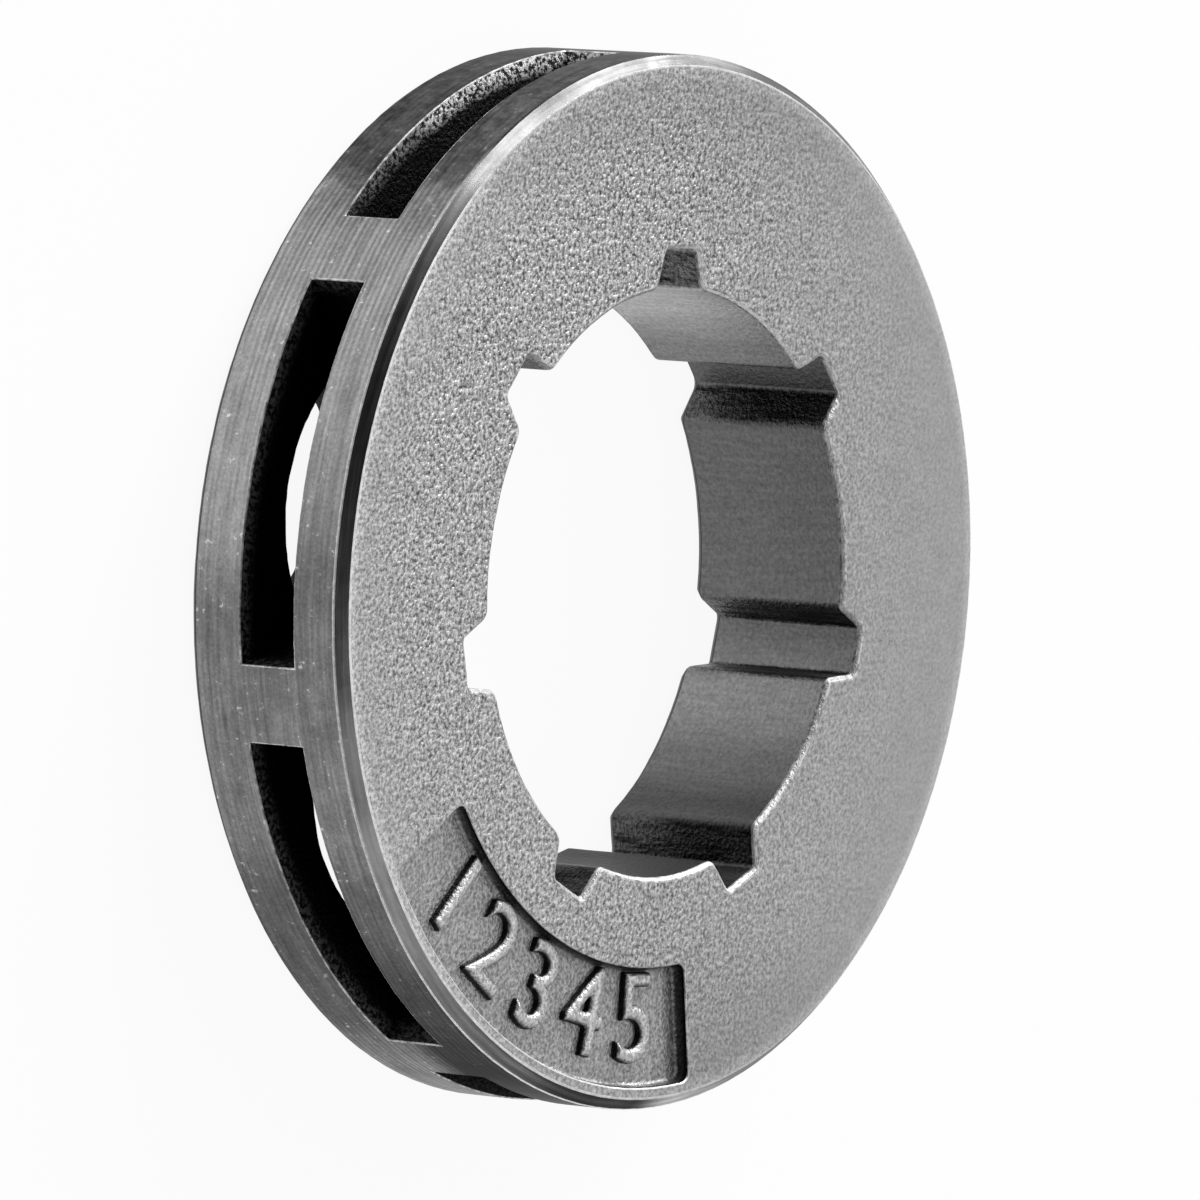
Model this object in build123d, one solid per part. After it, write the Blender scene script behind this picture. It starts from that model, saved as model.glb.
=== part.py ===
from build123d import *
from math import asin, cos, radians, sin, tan
import os

# rim
rim_diameter = 38.0
rim_width = 6.9
front_chamfer = 0.42
rear_chamfer = 0.3

# chain slot and the drive teeth that bridge it
tooth_count = 7
tooth_width = 2.85
flank_angle = 34.0
rear_flange = 2.33
slot_width = 2.37
hub_radius = 12.9
hub_corner = 1.2

# clearing openings through the rear flange, one behind each window
opening_height = 3.94
opening_arc_radius = 6.0
opening_inset = 0.58
opening_corner = 0.5

# floating spline bore
land_radius = 10.6
notch_depth = 1.4
root_width = 1.76
notch_splay = 16.7
mouth_round = 0.5
root_round = 0.2
front_bore_edge = 0.15
rear_bore_edge = 0.38

# sunk marking panel on the front face
panel_inner_radius = 13.85
panel_outer_radius = 18.2
panel_span = 64.6
panel_middle = 245.2
panel_depth = 0.5
panel_corner = 0.4
panel_draft = 12.0
panel_floor_fillet = 0.15

# directions of the first tooth and of the first window
first_tooth = 90.0
rim_radius = rim_diameter / 2
root_radius = land_radius + notch_depth
half_pitch = 180.0 / tooth_count
first_window = first_tooth + half_pitch
front_face = Plane.XY.offset(rim_width)


# turned blank with its two edge chamfers
def rim_blank():
    profile = Polyline(
        (0, 0),
        (rim_radius - rear_chamfer, 0),
        (rim_radius, rear_chamfer),
        (rim_radius, rim_width - front_chamfer),
        (rim_radius - front_chamfer, rim_width),
        (0, rim_width),
        close=True,
    )
    return revolve(Plane.XZ * make_face(profile), Axis.Z, 360)


# wedge between two neighbouring teeth, drawn about the X axis
def window_wedge(inset):
    corner_angle = radians(half_pitch) - asin(tooth_width / 2 / rim_radius)
    slope = tan(radians(flank_angle))
    corner_x = rim_radius * cos(corner_angle)
    corner_y = rim_radius * sin(corner_angle) - inset / cos(radians(flank_angle))
    apex_x = corner_x - corner_y / slope
    outer_x = rim_radius + 1
    outer_y = (outer_x - apex_x) * slope
    wedge = make_face(Polyline((apex_x, 0), (outer_x, outer_y), (outer_x, -outer_y), close=True))
    return wedge - Circle(hub_radius)


# window in the chain slot, open at the rim and closed by the hub
def slot_window():
    profile = window_wedge(0)
    profile = fillet(profile.vertices().sort_by(Axis.X)[:2], hub_corner)
    return extrude(Plane.XY.offset(rear_flange) * profile, slot_width)


# opening that lets dirt fall out of a window through the rear flange
def clearing_opening():
    arc_centre = hub_radius + opening_height - opening_arc_radius
    tip = Pos(arc_centre, 0) * Circle(opening_arc_radius)
    profile = window_wedge(opening_inset) & tip
    inner = profile.vertices().sort_by(Axis.X)[:2]
    profile = fillet(inner, hub_corner)
    outer = profile.vertices().sort_by(Axis.X)[-2:]
    profile = fillet(outer, opening_corner)
    return extrude(profile, rear_flange)


# bore outline: round lands with a splayed notch under each tooth
def bore_profile():
    splay = tan(radians(notch_splay))
    start = land_radius - mouth_round
    half_root = root_width / 2
    half_start = half_root + (root_radius - start) * splay
    notch = make_face(Polyline(
        (start, -half_start),
        (root_radius, -half_root),
        (root_radius, half_root),
        (start, half_start),
        close=True,
    ))
    profile = Circle(land_radius)
    for place in PolarLocations(0, tooth_count, first_tooth):
        profile += place * notch
    middle = (land_radius + root_radius) / 2
    mouths = [v for v in profile.vertices() if Vector(*v).length < middle]
    profile = fillet(mouths, mouth_round)
    roots = [v for v in profile.vertices() if Vector(*v).length > root_radius]
    return fillet(roots, root_round)


# shallow drafted panel in the front face with a rounded floor edge
def marking_panel():
    ring = Circle(panel_outer_radius) - Circle(panel_inner_radius)
    reach = rim_diameter
    half_span = radians(panel_span / 2)
    sector = make_face(Polyline(
        (0, 0),
        (reach * cos(half_span), reach * sin(half_span)),
        (reach * cos(half_span), -reach * sin(half_span)),
        close=True,
    ))
    profile = ring & sector
    profile = fillet(profile.vertices(), panel_corner)
    face = front_face * Rot(0, 0, panel_middle) * profile
    panel = extrude(face, -panel_depth, taper=panel_draft)
    return fillet(panel.faces().sort_by(Axis.Z)[0].edges(), panel_floor_fillet)


# bore outline edges that lie in one end face
def bore_edges(body, height):
    level = body.edges().filter_by_position(Axis.Z, height, height)
    return level.filter_by(lambda edge: Vector((edge @ 0).X, (edge @ 0).Y).length < hub_radius)


# blank with the bore cut through and its edges broken at both faces
def bored_blank():
    blank = rim_blank() - extrude(bore_profile(), rim_width)
    blank = chamfer(bore_edges(blank, rim_width), front_bore_edge)
    return chamfer(bore_edges(blank, 0), rear_bore_edge)


# whole sprocket
def rim_sprocket():
    sprocket = bored_blank()
    window = slot_window()
    opening = clearing_opening()
    for place in PolarLocations(0, tooth_count, first_window):
        sprocket -= place * window
        sprocket -= place * opening
    return sprocket - marking_panel()


os.makedirs("parts", exist_ok=True)
export_step(rim_sprocket(), "parts/rim_sprocket.step")
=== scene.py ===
from math import cos, hypot, pi, radians, sin

import bpy
from mathutils import Matrix, Vector


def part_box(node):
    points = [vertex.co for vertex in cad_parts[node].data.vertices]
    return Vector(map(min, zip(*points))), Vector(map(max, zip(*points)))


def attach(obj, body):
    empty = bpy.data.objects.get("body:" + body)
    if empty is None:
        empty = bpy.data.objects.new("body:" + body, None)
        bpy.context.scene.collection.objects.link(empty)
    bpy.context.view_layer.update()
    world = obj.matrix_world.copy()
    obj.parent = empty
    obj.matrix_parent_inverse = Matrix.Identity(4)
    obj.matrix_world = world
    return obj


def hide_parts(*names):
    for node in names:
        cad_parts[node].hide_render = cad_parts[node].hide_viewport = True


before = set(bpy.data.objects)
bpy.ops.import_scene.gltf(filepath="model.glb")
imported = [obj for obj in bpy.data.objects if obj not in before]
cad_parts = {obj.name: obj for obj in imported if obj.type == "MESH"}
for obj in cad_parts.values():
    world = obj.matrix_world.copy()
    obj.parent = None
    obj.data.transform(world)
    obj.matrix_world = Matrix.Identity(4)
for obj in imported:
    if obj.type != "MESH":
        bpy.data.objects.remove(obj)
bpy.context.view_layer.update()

bl_info = {
    "name": "Rim Sprocket",
    "version": (1, 0, 0),
    "blender": (4, 5, 0),
    "location": "3D View > Sidebar > Sprocket",
    "description": "Dresses a splined rim sprocket: worn edges, cast pockets, turned rim and raised numbers",
    "category": "Add Mesh",
}

NODE = "rim_sprocket"
MM = 0.001
box_low, box_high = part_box(NODE)
RIM_RADIUS = (box_high.x - box_low.x) / 2
RIM_WIDTH = box_high.z - box_low.z

# places on the ring that tell one finish from another
BORE_REACH = 12.3 * MM
FACE_SKIN = 0.02 * MM
PANEL_DEPTH = 0.5 * MM
PANEL_RADIUS = 18.2 * MM
CHAMFER_REACH = 0.5 * MM
REAR_EDGE = 0.42 * MM
FRONT_EDGE = 0.55 * MM
EDGE_SKIN = 0.15 * MM

# shares of a face's normal that tell a slope, a chamfer and an upright wall
SLOPE = 0.3
CHAMFER_LEAN = 0.6
UPRIGHT = 0.97

# work on the ring's mesh
MERGE_REACH = 0.001 * MM
FLAT_ANGLE = radians(0.4)
SHARP_ANGLE = radians(28)
SMOOTH_ANGLE = radians(35)

# pitch of each layer of the cast relief, and its share of the depth
CAST_LAYERS = ((0.9 * MM, 1.0), (0.35 * MM, 0.6))

# distance between the grooves that the turning left
GROOVE_PITCH = 0.26 * MM

# raised numbers, in the millimetres that they are shaped in
DIGITS = "12345"
FONT_SHARE = 1.375
NUMBER_ROOT = 0.1
STROKE_TRIM = 0.17
VOXEL = 0.045
SMOOTHING = 5

# floor, and how much of it is plain white to the camera and in reflections
FLOOR_SIZE = 4.0
FLOOR_DROP = 0.02 * MM
FLOOR_TONE = 0.9
FLOOR_WHITE = 0.93

# sky: side that stays dark, where the camera stands, then its levels round and above that side,
# each as two inputs and the two levels that they give
DARK_SIDE = (-0.95, 0.31, 0.0)
SKY_ROUND = (0.52, 0.38, 0.015, 0.85)
SKY_ABOVE = (0.05, 0.6, 0.06, 1.0)

# lamps: place, size and power
KEY_LIGHT = ((0.52, 0.70, 0.23), 0.35, 7.0)
TOP_LIGHT = ((0.22, 0.85, 0.42), 0.3, 2.5)


class SprocketSizes(bpy.types.PropertyGroup):
    """Sizes that the finishing adds to the ring."""

    edge_wear: bpy.props.FloatProperty(
        name="Edge wear",
        description="Width of the worn band on each sharp edge",
        default=0.05 * MM,
        min=0.0,
        precision=5,
        unit="LENGTH",
    )
    grid_pitch: bpy.props.FloatProperty(
        name="Surface pitch",
        description="Distance between the mesh lines that carry the cast relief",
        default=0.4 * MM,
        min=0.2 * MM,
        precision=5,
        unit="LENGTH",
    )
    cast_relief: bpy.props.FloatProperty(
        name="Cast relief",
        description="Depth of the rough relief on walls that were never machined",
        default=0.05 * MM,
        precision=5,
        unit="LENGTH",
    )
    number_height: bpy.props.FloatProperty(
        name="Number height",
        description="Height of the raised numbers",
        default=3.35 * MM,
        precision=5,
        unit="LENGTH",
    )
    number_rise: bpy.props.FloatProperty(
        name="Number rise",
        description="How far the numbers stand above the panel floor",
        default=0.34 * MM,
        precision=5,
        unit="LENGTH",
    )
    number_radius: bpy.props.FloatProperty(
        name="Number radius",
        description="Distance from the bore axis to the middle of the numbers",
        default=15.85 * MM,
        precision=5,
        unit="LENGTH",
    )
    number_middle: bpy.props.FloatProperty(
        name="Number direction",
        description="Direction of the middle number from the bore axis",
        default=radians(245.6),
        subtype="ANGLE",
    )
    number_step: bpy.props.FloatProperty(
        name="Number step",
        description="Angle between two neighbouring numbers",
        default=radians(11.0),
        subtype="ANGLE",
    )


class SprocketColours(bpy.types.PropertyGroup):
    """Tones of the bare steel, one for each finish."""

    face: bpy.props.FloatProperty(
        name="End faces", description="Tone of the blasted end faces", default=0.47, min=0, max=1
    )
    panel: bpy.props.FloatProperty(
        name="Panel", description="Tone of the sunk panel's floor", default=0.41, min=0, max=1
    )
    rim: bpy.props.FloatProperty(
        name="Rim", description="Tone of the turned rim", default=0.20, min=0, max=1
    )
    chamfer: bpy.props.FloatProperty(
        name="Chamfers", description="Tone of the turned chamfers", default=0.45, min=0, max=1
    )
    bore: bpy.props.FloatProperty(
        name="Bore", description="Tone of the bore's lands and notches", default=0.28, min=0, max=1
    )
    pocket: bpy.props.FloatProperty(
        name="Pockets", description="Tone of the cast walls inside the windows", default=1.0, min=0, max=1
    )
    edge: bpy.props.FloatProperty(
        name="Edges", description="Tone of the worn edges", default=0.75, min=0, max=1
    )
    burr: bpy.props.FloatProperty(
        name="Front edges", description="Tone of the bright edges at the chamfer", default=1.0, min=0, max=1
    )
    # painted shade: the near-black tone of the rear edges
    shade: bpy.props.FloatProperty(
        name="Rear edges", description="Tone of the dull edges at the rear face", default=0.06, min=0, max=1
    )
    numbers: bpy.props.FloatProperty(
        name="Numbers", description="Tone of the raised numbers", default=0.6, min=0, max=1
    )


class SprocketStage(bpy.types.PropertyGroup):
    """Camera and light of the studio."""

    camera_azimuth: bpy.props.FloatProperty(
        name="Camera azimuth", description="Turn of the camera round the ring",
        default=radians(-93.685), subtype="ANGLE",
    )
    camera_elevation: bpy.props.FloatProperty(
        name="Camera elevation", description="Height of the camera above the floor, as an angle",
        default=radians(36.885), subtype="ANGLE",
    )
    camera_roll: bpy.props.FloatProperty(
        name="Camera roll", description="Turn of the camera about its own view line",
        default=radians(94.546), subtype="ANGLE",
    )
    camera_distance: bpy.props.FloatProperty(
        name="Camera distance", description="Distance from the camera to the point it looks at",
        default=477.77 * MM, unit="LENGTH",
    )
    camera_aim: bpy.props.FloatVectorProperty(
        name="Camera aim", description="Point that the camera looks at",
        default=(1.780 * MM, -0.910 * MM, 2.446 * MM), precision=5, subtype="TRANSLATION",
    )
    camera_lens: bpy.props.FloatProperty(
        name="Camera lens", description="Focal length of the camera", default=395.68, unit="CAMERA",
    )


def sizes():
    return bpy.context.scene.sprocket_sizes


def colours():
    return bpy.context.scene.sprocket_colours


# small helpers for work in object and edit mode
def select_only(obj):
    bpy.ops.object.select_all(action="DESELECT")
    obj.select_set(True)
    bpy.context.view_layer.objects.active = obj


def edit(obj, work):
    select_only(obj)
    bpy.ops.object.mode_set(mode="EDIT")
    bpy.ops.mesh.select_all(action="SELECT")
    work()
    bpy.ops.object.mode_set(mode="OBJECT")


def apply_modifier(obj, kind, **settings):
    select_only(obj)
    modifier = obj.modifiers.new(kind.lower(), kind)
    for name, value in settings.items():
        setattr(modifier, name, value)
    bpy.ops.object.modifier_apply(modifier=modifier.name)


# node trees of the materials
class Nodes:
    """Short calls for building one material's node tree."""

    def __init__(self, name):
        self.material = bpy.data.materials.new(name)
        self.material.use_nodes = True
        self.tree = self.material.node_tree
        self.shader = self.tree.nodes["Principled BSDF"]
        self.place = self.add("ShaderNodeTexCoord").outputs["Object"]
        parts = self.add("ShaderNodeSeparateXYZ")
        self.put(parts.inputs[0], self.place)
        self.x, self.y, self.z = parts.outputs

    def add(self, kind, **settings):
        node = self.tree.nodes.new(kind)
        for name, value in settings.items():
            setattr(node, name, value)
        return node

    def put(self, socket, value):
        if isinstance(value, bpy.types.NodeSocket):
            self.tree.links.new(value, socket)
        else:
            socket.default_value = value

    def math(self, operation, *values):
        node = self.add("ShaderNodeMath", operation=operation)
        for socket, value in zip(node.inputs, values):
            self.put(socket, value)
        return node.outputs[0]

    def stretched(self, scale):
        node = self.add("ShaderNodeMapping")
        self.put(node.inputs["Vector"], self.place)
        node.inputs["Scale"].default_value = scale
        return node.outputs["Vector"]

    def noise(self, pitch, detail=2.0, roughness=0.5, where=None):
        node = self.add("ShaderNodeTexNoise")
        self.put(node.inputs["Vector"], where or self.place)
        node.inputs["Scale"].default_value = 1 / pitch
        node.inputs["Detail"].default_value = detail
        node.inputs["Roughness"].default_value = roughness
        return node.outputs["Fac"]

    def spread(self, value, low, high, to_low=0.0, to_high=1.0):
        node = self.add("ShaderNodeMapRange", clamp=True)
        for socket, number in zip(node.inputs, (value, low, high, to_low, to_high)):
            self.put(socket, number)
        return node.outputs["Result"]

    # fine grain, stretched to the full range
    def grain(self, pitch, detail=2.0):
        return self.spread(self.noise(pitch, detail, 0.6), 0.3, 0.7)

    def steps(self, value, stops):
        node = self.add("ShaderNodeValToRGB")
        node.color_ramp.interpolation = "EASE"
        self.put(node.inputs["Fac"], value)
        elements = node.color_ramp.elements
        while len(elements) < len(stops):
            elements.new(0.5)
        for element, (position, level) in zip(elements, stops):
            element.position = position
            element.color = (level, level, level, 1)
        return node.outputs["Color"]

    def reach(self):
        across = self.math("MULTIPLY", self.x, self.x)
        along = self.math("MULTIPLY_ADD", self.y, self.y, across)
        return self.math("SQRT", along)

    # level that changes round the ring, from pairs of direction and level, closed to a full turn; most of
    # its lists paint light and shade
    def level_round(self, stops):
        start, level = stops[0]
        turned = self.add("ShaderNodeMapping")
        self.put(turned.inputs["Vector"], self.place)
        turned.inputs["Rotation"].default_value = (0, 0, radians(180 - start))
        turn = self.add("ShaderNodeTexGradient", gradient_type="RADIAL")
        self.put(turn.inputs["Vector"], turned.outputs["Vector"])
        closed = (*stops, (start + 360, level))
        return self.steps(turn.outputs["Fac"], [((angle - start) / 360, round_level) for angle, round_level in closed])

    def facing(self):
        normal = self.add("ShaderNodeSeparateXYZ")
        self.put(normal.inputs[0], self.add("ShaderNodeNewGeometry").outputs["Normal"])
        return normal

    # share of a wall that faces along the ring instead of towards the bore axis
    def sideways(self):
        normal = self.facing()
        one = self.math("MULTIPLY", normal.outputs["X"], self.y)
        other = self.math("MULTIPLY", normal.outputs["Y"], self.x)
        across = self.math("ABSOLUTE", self.math("SUBTRACT", one, other))
        return self.math("DIVIDE", across, self.reach())

    def mixed(self, share, first, second):
        node = self.add("ShaderNodeMix", data_type="FLOAT")
        self.put(node.inputs["Factor"], share)
        self.put(node.inputs["A"], first)
        self.put(node.inputs["B"], second)
        return node.outputs["Result"]

    def vary(self, tone, pattern, amount):
        centred = self.math("SUBTRACT", pattern, 0.5)
        factor = self.math("MULTIPLY_ADD", centred, amount, 1.0)
        return self.math("MULTIPLY", factor, tone)

    def bump(self, height, distance, strength=1.0, below=None):
        node = self.add("ShaderNodeBump")
        self.put(node.inputs["Height"], height)
        node.inputs["Distance"].default_value = distance
        self.put(node.inputs["Strength"], strength)
        if below is not None:
            self.put(node.inputs["Normal"], below)
        return node.outputs["Normal"]

    def finish(self, tone, roughness, normal):
        colour = self.add("ShaderNodeCombineColor")
        for socket in colour.inputs:
            self.put(socket, tone)
        self.put(self.shader.inputs["Base Color"], colour.outputs["Color"])
        self.put(self.shader.inputs["Roughness"], roughness)
        self.put(self.shader.inputs["Normal"], normal)
        self.shader.inputs["Metallic"].default_value = 1.0
        return self.material


# blasted end face, coarse and pitted on one side of the ring, with painted light and shade across it and
# lighter at its outer edge
def blasted_steel(name, tone, pitch, contrast):
    nodes = Nodes(name)
    reach = nodes.reach()
    # how coarse the grain is: less on one side, towards the rim and towards one end
    coarse = nodes.spread(nodes.x, 0.0, 15 * MM, 1.0, 0.25)
    coarse = nodes.math("MULTIPLY", coarse, nodes.spread(reach, 15 * MM, 18.5 * MM, 1.0, 0.6))
    coarse = nodes.math("MULTIPLY", coarse, nodes.spread(nodes.y, -16 * MM, 8 * MM, 0.78, 1.05))
    # painted light and shade across the face: lighter towards -x, darker at both ends along y and towards -y
    tone = nodes.spread(nodes.x, -6 * MM, 14 * MM, 1.1 * tone, 0.97 * tone)
    shaded_ends = nodes.spread(nodes.math("ABSOLUTE", nodes.y), 13 * MM, 17 * MM, 1.0, 0.87)
    tone = nodes.math("MULTIPLY", tone, shaded_ends)
    tone = nodes.math("MULTIPLY", tone, nodes.spread(nodes.y, -15 * MM, -11 * MM, 0.92, 1.0))
    # grain, pits, soft clouds and the lighter outer edge
    grain = nodes.grain(pitch, 1.5)
    value = nodes.vary(tone, grain, nodes.math("MULTIPLY", coarse, contrast))
    pits = nodes.spread(nodes.noise(0.22 * MM, 2.0, 0.7), 0.3, 0.42, 0.6, 0.0)
    kept = nodes.math("SUBTRACT", 1.0, nodes.math("MULTIPLY", coarse, pits))
    value = nodes.math("MULTIPLY", value, kept)
    clouds = nodes.noise(1.4 * MM, 2.0, 0.5)
    value = nodes.vary(value, clouds, 0.2)
    value = nodes.math("MULTIPLY", value, nodes.spread(reach, 18.05 * MM, 18.4 * MM, 1.0, 1.25))
    relief = nodes.bump(grain, 0.04 * MM, coarse)
    return nodes.finish(value, 0.5, relief)


# floor of the panel and the numbers on it, with painted shade in its corners and painted shadow on
# everything steep, darkest on what is near the front face
def sunk_steel(name, tone, contrast, steep):
    nodes = Nodes(name)
    grain = nodes.grain(0.14 * MM, 1.5)
    steep_shade = nodes.spread(nodes.z, RIM_WIDTH - 0.45 * MM, RIM_WIDTH - 0.1 * MM, steep, 0.05)
    shade_share = nodes.mixed(nodes.spread(nodes.facing().outputs["Z"], 0.4, 0.92), steep_shade, 1.0)
    corner_shade = nodes.spread(nodes.reach(), 13.95 * MM, 14.3 * MM, 0.6, 1.0)
    corner_shade = nodes.math("MULTIPLY", corner_shade, nodes.level_round(PANEL_CORNER_SHADE))
    value = nodes.math("MULTIPLY", nodes.vary(tone, grain, contrast), shade_share)
    value = nodes.math("MULTIPLY", value, corner_shade)
    relief = nodes.bump(grain, 0.03 * MM, 0.8)
    return nodes.finish(value, 0.5, relief)


# turned metal with grooves round it, small nicks, and painted light and shade that change round it
def turned_steel(name, tone, rear, front, roughness, marks):
    nodes = Nodes(name)
    # fine lines and wandering grooves round the axis
    lines = nodes.noise(1.0, 2.0, 0.6, nodes.stretched((250, 250, 6500)))
    wander = nodes.math("MULTIPLY", nodes.noise(4.0 * MM, 1.0, 0.5), 5.0)
    phase = nodes.math("MULTIPLY_ADD", nodes.z, 2 * pi / GROOVE_PITCH, wander)
    grooves = nodes.math("MULTIPLY_ADD", nodes.math("SINE", phase), 0.5, 0.5)
    depth = nodes.math("MULTIPLY", nodes.level_round(GROOVES), 0.5)
    # specks, nicks, clouds and stains
    specks = nodes.noise(0.12 * MM, 2.0, 0.6)
    nicks = nodes.spread(nodes.noise(0.3 * MM, 3.0, 0.65), 0.65, 0.71, 0.0, 0.35 * marks)
    clouds = nodes.noise(2.0 * MM, 3.0, 0.6)
    stains = nodes.noise(0.6 * MM, 4.0, 0.7)
    stained = nodes.math("MULTIPLY", nodes.level_round(STAINS), 1.6 * marks)
    # painted light and shade of the rear half of the width, then of the front half
    ahead = nodes.spread(nodes.z, RIM_WIDTH * 0.4, RIM_WIDTH * 0.6)
    round_level = nodes.mixed(ahead, nodes.level_round(rear), nodes.level_round(front))
    value = nodes.vary(nodes.math("MULTIPLY", round_level, tone), lines, 1.2)
    value = nodes.vary(value, grooves, depth)
    value = nodes.vary(value, specks, 0.9 * marks)
    value = nodes.vary(value, clouds, 0.6)
    value = nodes.vary(value, stains, stained)
    shown = nodes.spread(round_level, 0.1, 0.9, 0.1, 1.0)
    value = nodes.math("MULTIPLY_ADD", nicks, shown, value)
    relief = nodes.bump(lines, 0.01 * MM, 0.6)
    relief = nodes.bump(grooves, 0.004 * MM, depth, relief)
    relief = nodes.bump(specks, 0.006 * MM, 0.6 * marks, relief)
    nodes.shader.inputs["Specular Tint"].default_value = (0.5, 0.5, 0.5, 1)
    return nodes.finish(value, roughness, relief)


# bore as sintered, with lines along the axis, seamed notch sides that are darkest in front, and painted
# light and shade round the bore
def bore_steel(name, tone, stops):
    nodes = Nodes(name)
    grain = nodes.grain(0.15 * MM)
    lines = nodes.noise(1.0, 2.0, 0.6, nodes.stretched((5000, 5000, 500)))
    side = nodes.spread(nodes.sideways(), 0.3, 0.75)
    dark = nodes.spread(nodes.z, 0.5 * MM, 3.5 * MM, 0.8, 0.34)
    seams = nodes.noise(1.0, 3.0, 0.6, nodes.stretched((3200, 3200, 350)))
    dark = nodes.math("MULTIPLY", dark, nodes.spread(seams, 0.4, 0.5, 0.3, 1.15))
    value = nodes.math("MULTIPLY", nodes.level_round(stops), tone)
    value = nodes.math("MULTIPLY", value, nodes.mixed(side, 1.0, dark))
    value = nodes.vary(value, grain, nodes.mixed(side, 0.45, 1.2))
    value = nodes.vary(value, lines, nodes.mixed(side, 0.5, 1.6))
    relief = nodes.bump(grain, 0.04 * MM, nodes.mixed(side, 0.35, 1.0))
    return nodes.finish(value, 0.45, relief)


# rough wall as it came from the mould, with painted shade deep inside the window and painted light and shade
# round the ring
def cast_steel(name, tone, pitch, depth, stops, inner_shade):
    nodes = Nodes(name)
    lumps = nodes.noise(pitch, 3.0, 0.6)
    grains = nodes.spread(lumps, 0.45, 0.56, 0.03, 1.0)
    value = nodes.math("MULTIPLY", nodes.math("MULTIPLY", grains, tone), nodes.level_round(stops))
    value = nodes.math("MULTIPLY", value, nodes.spread(nodes.reach(), *inner_shade))
    relief = nodes.bump(lumps, depth, 0.8)
    material = nodes.finish(value, 0.5, relief)
    nodes.shader.inputs["Metallic"].default_value = 0.15
    nodes.shader.inputs["Specular IOR Level"].default_value = 0.15
    return material


# broken edge round the bore, dull and ragged, with painted light and shade round the ring
def lip_steel(name, tone, stops):
    nodes = Nodes(name)
    grain = nodes.grain(0.16 * MM)
    relief = nodes.bump(grain, 0.05 * MM, 0.8)
    value = nodes.math("MULTIPLY", nodes.vary(tone, grain, 0.5), nodes.level_round(stops))
    material = nodes.finish(value, 0.6, relief)
    nodes.shader.inputs["Metallic"].default_value = 0.4
    return material


# thin worn band along a sharp edge, bright where it was rubbed and dull down to the given share, with
# painted light and shade round the ring
def edge_steel(name, tone, dull, stops):
    nodes = Nodes(name)
    wear = nodes.noise(0.25 * MM, 3.0, 0.6)
    value = nodes.math("MULTIPLY", nodes.spread(wear, 0.38, 0.6, dull, 1.0), tone)
    value = nodes.math("MULTIPLY", value, nodes.level_round(stops))
    relief = nodes.bump(wear, 0.03 * MM, 0.6)
    material = nodes.finish(value, 0.4, relief)
    nodes.shader.inputs["Metallic"].default_value = 0.5
    return material


# edge in painted shade: a near-black tone with a little grain
def shaded_steel(name, tone):
    nodes = Nodes(name)
    grain = nodes.noise(0.2 * MM, 2.0, 0.6)
    return nodes.finish(nodes.vary(tone, grain, 1.0), 0.5, nodes.bump(grain, 0.02 * MM, 0.5))


# finishes in the order of their material slots
FINISHES = (
    "face", "lip", "panel", "rim", "chamfer", "bore", "pocket", "edge", "burr", "brink", "shade",
)

# finishes of the smooth surfaces, each shaded apart from the worn bands beside it
SMOOTH_FINISHES = ("face", "panel", "rim", "chamfer", "bore")

# share of the cast relief that each finish gets
RELIEF_SHARE = {
    "face": 0.0, "lip": 0.6, "panel": 0.2, "rim": 0.0, "chamfer": 0.0,
    "bore": 0.35, "pocket": 1.0, "edge": 0.5, "burr": 0.3, "brink": 0.3, "shade": 0.4,
}

# levels round the ring, as pairs of direction in degrees and level: painted light and shade, except GROOVES
# and STAINS, which set how strong the grooves and stains are
REAR_RIM = (
    (75, 0.9), (85, 0.35), (98, 0.25), (104, 0.45), (129, 0.45), (135, 1.35), (144, 1.75), (172, 1.85),
    (183, 0.95), (206, 1.15), (216, 0.66), (232, 0.7), (248, 1.6), (256, 2.2), (275, 1.6), (292, 0.9),
)
FRONT_RIM = (
    (75, 0.9), (85, 0.35), (97, 0.25), (104, 0.6), (114, 0.68), (129, 0.5), (135, 1.25), (144, 1.7),
    (162, 1.75), (168, 1.4), (178, 0.9), (206, 1.15), (216, 0.78), (232, 0.45), (240, 0.32), (248, 0.1),
    (260, 0.12), (272, 0.45), (292, 0.9),
)
CHAMFER = (
    (75, 0.5), (85, 1.2), (91, 0.55), (99, 0.12), (112, 0.13), (120, 0.23), (127, 0.26), (131, 0.45),
    (136, 0.36), (142, 0.22), (156, 0.26), (168, 0.42), (178, 0.48), (190, 0.38), (196, 0.56), (202, 0.44),
    (209, 0.75), (220, 0.7), (232, 0.6), (246, 0.7), (262, 0.34), (268, 0.16), (275, 1.6), (292, 0.5),
)
BORE = (
    (-110, 0.5), (-100, 0.05), (-70, 0.05), (-62, 0.5), (-52, 0.3), (-42, 0.6), (-26, 1.05), (-8, 0.6),
    (28, 0.55), (38, 0.45), (50, 0.85), (70, 1.75), (90, 1.5), (120, 0.7), (230, 0.6),
)
LIP = (
    (-115, 1.0), (-100, 1.5), (-50, 1.6), (-30, 1.0), (0, 1.0), (20, 1.3), (40, 1.5), (60, 2.0),
    (80, 2.0), (100, 1.0),
)
POCKET = (
    (70, 0.3), (85, 1.0), (118, 1.0), (123, 0.3), (131, 0.22), (136, 0.06), (235, 0.1), (245, 0.02),
    (275, 0.02), (300, 0.3),
)
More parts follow.
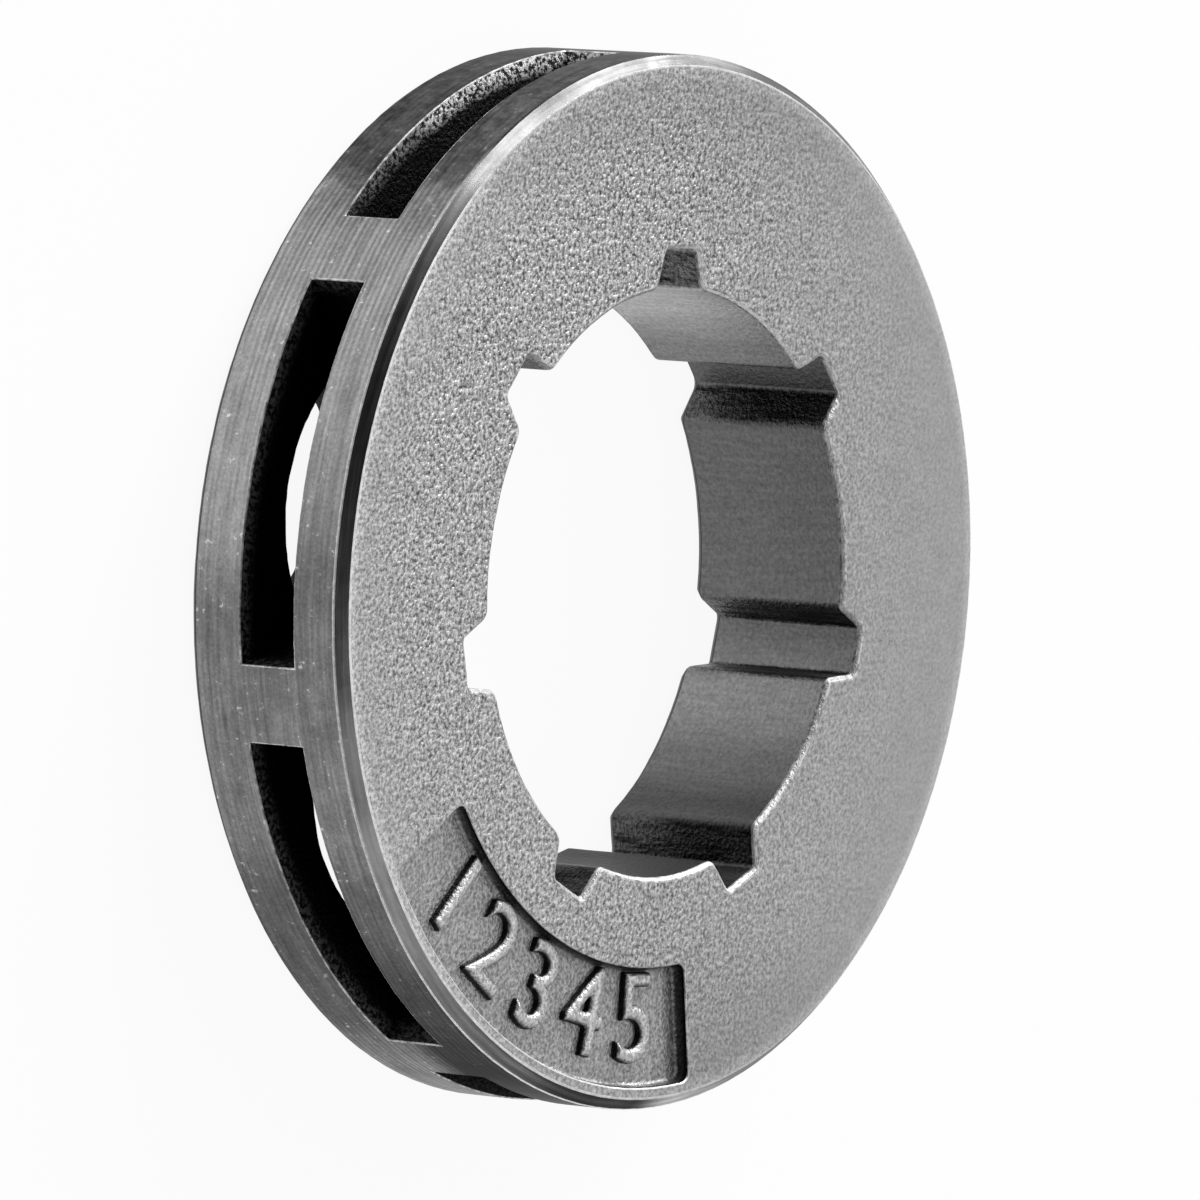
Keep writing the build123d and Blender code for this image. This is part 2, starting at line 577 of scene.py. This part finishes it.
# painted shade on the panel floor beside the recess's end wall
PANEL_CORNER_SHADE = ((200, 1.0), (275.0, 1.0), (276.4, 0.45), (279, 0.45), (282, 1.0))
GROOVES = (
    (75, 0.3), (100, 0.1), (128, 0.4), (136, 1.0), (148, 0.8), (158, 0.3), (190, 0.25), (232, 0.2),
    (240, 0.9), (256, 0.9), (275, 0.3),
)
STAINS = ((75, 0.3), (96, 1.7), (130, 1.7), (140, 0.2), (170, 0.2), (180, 0.5), (236, 0.5), (250, 0.2))
EDGE = (
    (75, 1.0), (92, 1.3), (132, 1.3), (137, 0.8), (144, 1.3), (149, 1.3), (155, 0.8), (184, 0.8),
    (188, 1.3), (192, 1.0),
)
BURR = ((75, 0.8), (88, 0.6), (124, 0.55), (140, 1.0), (275, 1.0), (292, 0.8))
# painted shade: near-black along the outer edge between 93 and 123 degrees
BRINK = ((75, 0.8), (88, 0.3), (93, 0.01), (123, 0.01), (131, 0.5), (140, 1.0), (275, 1.0), (292, 0.8))


def make_finishes():
    tones = colours()
    made = {
        "face": blasted_steel("steel_blasted_face", tones.face, 0.16 * MM, 1.5),
        "lip": lip_steel("steel_bore_lip", tones.face, LIP),
        "panel": sunk_steel("steel_panel_floor", tones.panel, 0.9, 0.9),
        "rim": turned_steel("steel_turned_rim", tones.rim, REAR_RIM, FRONT_RIM, 0.36, 1.0),
        "chamfer": turned_steel("steel_turned_chamfer", tones.chamfer, CHAMFER, CHAMFER, 0.25, 0.25),
        "bore": bore_steel("steel_bore", tones.bore, BORE),
        "pocket": cast_steel(
            "steel_cast_pocket", tones.pocket, 0.17 * MM, 0.15 * MM, POCKET,
            # painted shade: darker deeper inside the window, from 18.65 mm in to 18.2 mm
            (18.2 * MM, 18.65 * MM, 0.012, 1.0),
        ),
        "edge": edge_steel("steel_worn_edge", tones.edge, 0.35, EDGE),
        "burr": edge_steel("steel_bright_edge", tones.burr, 0.75, BURR),
        "brink": edge_steel("steel_outer_edge", tones.burr, 0.75, BRINK),
        "shade": shaded_steel("steel_shaded_edge", tones.shade),
    }
    return [made[name] for name in FINISHES]


# finish of a face of the frame's own surfaces, before the edges are softened
def finish_of(face):
    centre, normal = face.center, face.normal
    reach = hypot(centre.x, centre.y)
    outward = (normal.x * centre.x + normal.y * centre.y) / reach
    if centre.z > RIM_WIDTH - FACE_SKIN or centre.z < FACE_SKIN:
        return "face"
    # rear chamfers take the finish of painted shade
    if centre.z < REAR_EDGE and normal.z < -SLOPE:
        return "shade"
    if reach < BORE_REACH:
        return "lip" if normal.z > SLOPE else "bore"
    if reach > RIM_RADIUS - CHAMFER_REACH and outward > UPRIGHT:
        return "rim"
    if reach > RIM_RADIUS - CHAMFER_REACH and min(outward, abs(normal.z)) > CHAMFER_LEAN:
        return "chamfer"
    if centre.z > RIM_WIDTH - PANEL_DEPTH - FACE_SKIN:
        return "panel"
    return "pocket"


# narrow bands that the bevel made: painted shade at the rear face, the pocket's finish with its painted
# shade inside a window, bright at the front
def edge_finish_of(face):
    reach = hypot(face.center.x, face.center.y)
    if face.center.z < REAR_EDGE:
        return "shade"
    if face.center.z < RIM_WIDTH - FRONT_EDGE and BORE_REACH < reach < RIM_RADIUS - EDGE_SKIN:
        return "pocket"
    if face.center.z > RIM_WIDTH - FRONT_EDGE and reach > PANEL_RADIUS - EDGE_SKIN:
        return "brink" if reach > RIM_RADIUS - EDGE_SKIN else "burr"
    return "edge"


class SPROCKET_OT_ring(bpy.types.Operator):
    """Makes the ring from the frame, softens its edges and roughens its cast walls"""

    bl_idname = "sprocket.ring"
    bl_label = "Ring"

    def execute(self, context):
        ring = bpy.data.objects.new("sprocket_ring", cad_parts[NODE].data.copy())
        context.scene.collection.objects.link(ring)
        edit(ring, self.merge)
        ring.data.materials.clear()
        for material in make_finishes():
            ring.data.materials.append(material)
        for face in ring.data.polygons:
            face.material_index = FINISHES.index(finish_of(face))
        apply_modifier(
            ring,
            "BEVEL",
            width=sizes().edge_wear,
            segments=2,
            limit_method="ANGLE",
            angle_limit=SHARP_ANGLE,
            use_clamp_overlap=False,
            loop_slide=False,
            material=FINISHES.index("edge"),
        )
        for face in ring.data.polygons:
            if face.material_index == FINISHES.index("edge"):
                face.material_index = FINISHES.index(edge_finish_of(face))
        edit(ring, self.lay_grid)
        self.roughen(ring)
        select_only(ring)
        bpy.ops.object.shade_smooth_by_angle(angle=SMOOTH_ANGLE)
        edit(ring, self.part_finishes)
        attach(ring, "root")
        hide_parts(NODE)
        return {"FINISHED"}

    # one joined mesh with its flat facets made whole
    def merge(self):
        bpy.ops.mesh.customdata_custom_splitnormals_clear()
        bpy.ops.mesh.remove_doubles(threshold=MERGE_REACH)
        bpy.ops.mesh.dissolve_limited(angle_limit=FLAT_ANGLE)

    # even mesh lines in all three directions, which carry the relief
    def lay_grid(self):
        pitch = sizes().grid_pitch
        for axis, low, high in zip(((1, 0, 0), (0, 1, 0), (0, 0, 1)), box_low, box_high):
            count = round((high - low) / pitch)
            for step in range(1, count):
                point = Vector(axis) * (low + (high - low) * step / count)
                bpy.ops.mesh.select_all(action="SELECT")
                bpy.ops.mesh.bisect(plane_co=point, plane_no=axis)

    # sharp borders round the smooth surfaces
    def part_finishes(self):
        for name in SMOOTH_FINISHES:
            bpy.ops.mesh.select_all(action="DESELECT")
            bpy.context.object.active_material_index = FINISHES.index(name)
            bpy.ops.object.material_slot_select()
            bpy.ops.mesh.region_to_loop()
            bpy.ops.mesh.mark_sharp()

    # cast walls get their full relief, and worn edges a part of it
    def roughen(self, ring):
        weights = {}
        for face in ring.data.polygons:
            weight = RELIEF_SHARE[FINISHES[face.material_index]]
            for vertex in face.vertices:
                weights.setdefault(vertex, []).append(weight)
        group = ring.vertex_groups.new(name="cast")
        for vertex, found in weights.items():
            group.add([vertex], sum(found) / len(found), "REPLACE")
        for pitch, depth in CAST_LAYERS:
            texture = bpy.data.textures.new("cast_relief", "CLOUDS")
            texture.noise_scale = pitch
            texture.noise_depth = 1
            apply_modifier(
                ring,
                "DISPLACE",
                texture=texture,
                texture_coords="LOCAL",
                strength=depth * sizes().cast_relief,
                mid_level=0.5,
                vertex_group="cast",
            )
            bpy.data.textures.remove(texture)


class SPROCKET_OT_numbers(bpy.types.Operator):
    """Makes the raised numbers on the panel floor, read along the arc with their heads to the bore"""

    bl_idname = "sprocket.numbers"
    bl_label = "Numbers"

    def execute(self, context):
        middle = len(DIGITS) // 2
        digits = [self.digit(text, index - middle) for index, text in enumerate(DIGITS)]
        bpy.ops.object.select_all(action="DESELECT")
        for digit in digits:
            digit.select_set(True)
        context.view_layer.objects.active = digits[0]
        bpy.ops.object.join()
        numbers = context.object
        numbers.name = "panel_numbers"
        bpy.ops.object.transform_apply(location=True, rotation=True, scale=True)
        bpy.ops.object.shade_smooth()
        numbers.data.materials.clear()
        # the numbers' steep sides take a near-black painted shadow
        numbers.data.materials.append(sunk_steel("steel_numbers", colours().numbers, 0.8, 0.04))
        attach(numbers, "root")
        return {"FINISHED"}

    # one digit with round-topped strokes, shaped at a thousand times its size
    def digit(self, text, place):
        rise = sizes().number_rise / MM
        bpy.ops.object.text_add()
        digit = bpy.context.object
        digit.data.body = text
        digit.data.align_x = "CENTER"
        digit.data.align_y = "CENTER"
        digit.data.size = sizes().number_height / MM * FONT_SHARE
        digit.data.extrude = NUMBER_ROOT
        digit.data.offset = -STROKE_TRIM
        digit.data.bevel_depth = rise - NUMBER_ROOT
        digit.data.bevel_resolution = 4
        digit.data.resolution_u = 8
        bpy.ops.object.convert(target="MESH")
        apply_modifier(digit, "REMESH", mode="VOXEL", voxel_size=VOXEL)
        apply_modifier(digit, "SMOOTH", iterations=SMOOTHING)
        angle = sizes().number_middle + place * sizes().number_step
        digit.scale = (MM, MM, MM)
        digit.rotation_euler = (0, 0, angle + pi / 2)
        digit.location = (
            sizes().number_radius * cos(angle),
            sizes().number_radius * sin(angle),
            RIM_WIDTH - PANEL_DEPTH,
        )
        return digit


class SPROCKET_OT_stage(bpy.types.Operator):
    """Sets the pale floor, the soft lights and the camera"""

    bl_idname = "sprocket.stage"
    bl_label = "Stage"

    def execute(self, context):
        self.floor()
        self.world()
        self.lamp("key_light", *KEY_LIGHT)
        self.lamp("top_light", *TOP_LIGHT)
        self.camera()
        context.scene.view_settings.view_transform = "Standard"
        return {"FINISHED"}

    # pale floor that shows as white and keeps a little of its own shade
    def floor(self):
        bpy.ops.mesh.primitive_plane_add(size=FLOOR_SIZE, location=(0, 0, -FLOOR_DROP))
        floor = bpy.context.object
        floor.name = "floor"
        material = bpy.data.materials.new("pale_floor")
        material.use_nodes = True
        tree = material.node_tree
        shader = tree.nodes["Principled BSDF"]
        shader.inputs["Base Color"].default_value = (FLOOR_TONE, FLOOR_TONE, FLOOR_TONE, 1)
        shader.inputs["Roughness"].default_value = 0.9
        path = tree.nodes.new("ShaderNodeLightPath")
        seen = tree.nodes.new("ShaderNodeMath")
        seen.operation = "MAXIMUM"
        tree.links.new(path.outputs["Is Camera Ray"], seen.inputs[0])
        either = tree.nodes.new("ShaderNodeMath")
        either.operation = "MAXIMUM"
        tree.links.new(path.outputs["Is Glossy Ray"], either.inputs[0])
        tree.links.new(path.outputs["Is Transmission Ray"], either.inputs[1])
        tree.links.new(either.outputs[0], seen.inputs[1])
        share = tree.nodes.new("ShaderNodeMath")
        share.operation = "MULTIPLY"
        tree.links.new(seen.outputs[0], share.inputs[0])
        share.inputs[1].default_value = FLOOR_WHITE
        glow = tree.nodes.new("ShaderNodeEmission")
        glow.inputs["Strength"].default_value = 1.0
        mix = tree.nodes.new("ShaderNodeMixShader")
        tree.links.new(share.outputs[0], mix.inputs[0])
        tree.links.new(shader.outputs[0], mix.inputs[1])
        tree.links.new(glow.outputs[0], mix.inputs[2])
        tree.links.new(mix.outputs[0], tree.nodes["Material Output"].inputs["Surface"])
        floor.data.materials.append(material)

    # soft sky, dark on one side and low down
    def world(self):
        world = bpy.data.worlds.new("studio")
        bpy.context.scene.world = world
        world.use_nodes = True
        tree = world.node_tree
        sky = tree.nodes["Background"]
        sky.inputs["Color"].default_value = (1, 1, 1, 1)
        place = tree.nodes.new("ShaderNodeTexCoord")
        turned = tree.nodes.new("ShaderNodeVectorMath")
        turned.operation = "DOT_PRODUCT"
        turned.inputs[1].default_value = DARK_SIDE
        tree.links.new(place.outputs["Generated"], turned.inputs[0])
        height = tree.nodes.new("ShaderNodeSeparateXYZ")
        tree.links.new(place.outputs["Generated"], height.inputs[0])
        both = tree.nodes.new("ShaderNodeMath")
        both.operation = "MULTIPLY"
        tree.links.new(self.level(tree, turned.outputs["Value"], SKY_ROUND), both.inputs[0])
        tree.links.new(self.level(tree, height.outputs["Z"], SKY_ABOVE), both.inputs[1])
        tree.links.new(both.outputs[0], sky.inputs["Strength"])

    def level(self, tree, value, limits):
        node = tree.nodes.new("ShaderNodeMapRange")
        for socket, number in zip(node.inputs, (0, *limits)):
            socket.default_value = number
        tree.links.new(value, node.inputs["Value"])
        return node.outputs["Result"]

    def lamp(self, name, place, size, power):
        lamp = bpy.data.lights.new(name, "AREA")
        lamp.shape = "DISK"
        lamp.size = size
        lamp.energy = power
        obj = bpy.data.objects.new(name, lamp)
        obj.location = place
        obj.rotation_euler = Vector(place).to_track_quat("Z", "Y").to_euler()
        bpy.context.scene.collection.objects.link(obj)

    def camera(self):
        stage = bpy.context.scene.sprocket_stage
        data = bpy.data.cameras.new("camera")
        data.lens = stage.camera_lens
        data.sensor_width = 36
        data.clip_end = 10
        camera = bpy.data.objects.new("camera", data)
        turn = (
            Matrix.Rotation(stage.camera_azimuth, 4, "Z")
            @ Matrix.Rotation(pi / 2 - stage.camera_elevation, 4, "X")
            @ Matrix.Rotation(stage.camera_roll, 4, "Z")
        )
        back = turn @ Vector((0, 0, stage.camera_distance))
        camera.matrix_world = Matrix.Translation(Vector(stage.camera_aim) + back) @ turn
        bpy.context.scene.collection.objects.link(camera)
        bpy.context.scene.camera = camera


class SPROCKET_PT_sidebar(bpy.types.Panel):
    """Lists the sizes, tones and stage values, and the steps that use them"""

    bl_idname = "SPROCKET_PT_sidebar"
    bl_label = "Rim Sprocket"
    bl_space_type = "VIEW_3D"
    bl_region_type = "UI"
    bl_category = "Sprocket"

    def draw(self, context):
        groups = {"Sizes": sizes(), "Tones": colours(), "Stage": context.scene.sprocket_stage}
        for title, group in groups.items():
            box = self.layout.box()
            box.label(text=title)
            for name in group.__annotations__:
                box.prop(group, name)
        steps = self.layout.column(align=True)
        for step in (SPROCKET_OT_ring, SPROCKET_OT_numbers, SPROCKET_OT_stage):
            steps.operator(step.bl_idname)


CLASSES = (
    SprocketSizes,
    SprocketColours,
    SprocketStage,
    SPROCKET_OT_ring,
    SPROCKET_OT_numbers,
    SPROCKET_OT_stage,
    SPROCKET_PT_sidebar,
)


def register():
    for item in CLASSES:
        bpy.utils.register_class(item)
    bpy.types.Scene.sprocket_sizes = bpy.props.PointerProperty(type=SprocketSizes)
    bpy.types.Scene.sprocket_colours = bpy.props.PointerProperty(type=SprocketColours)
    bpy.types.Scene.sprocket_stage = bpy.props.PointerProperty(type=SprocketStage)


def unregister():
    del bpy.types.Scene.sprocket_sizes
    del bpy.types.Scene.sprocket_colours
    del bpy.types.Scene.sprocket_stage
    for item in reversed(CLASSES):
        bpy.utils.unregister_class(item)


def main():
    register()
    bpy.ops.sprocket.ring()
    bpy.ops.sprocket.numbers()
    bpy.ops.sprocket.stage()


if __name__ == "__main__":
    main()
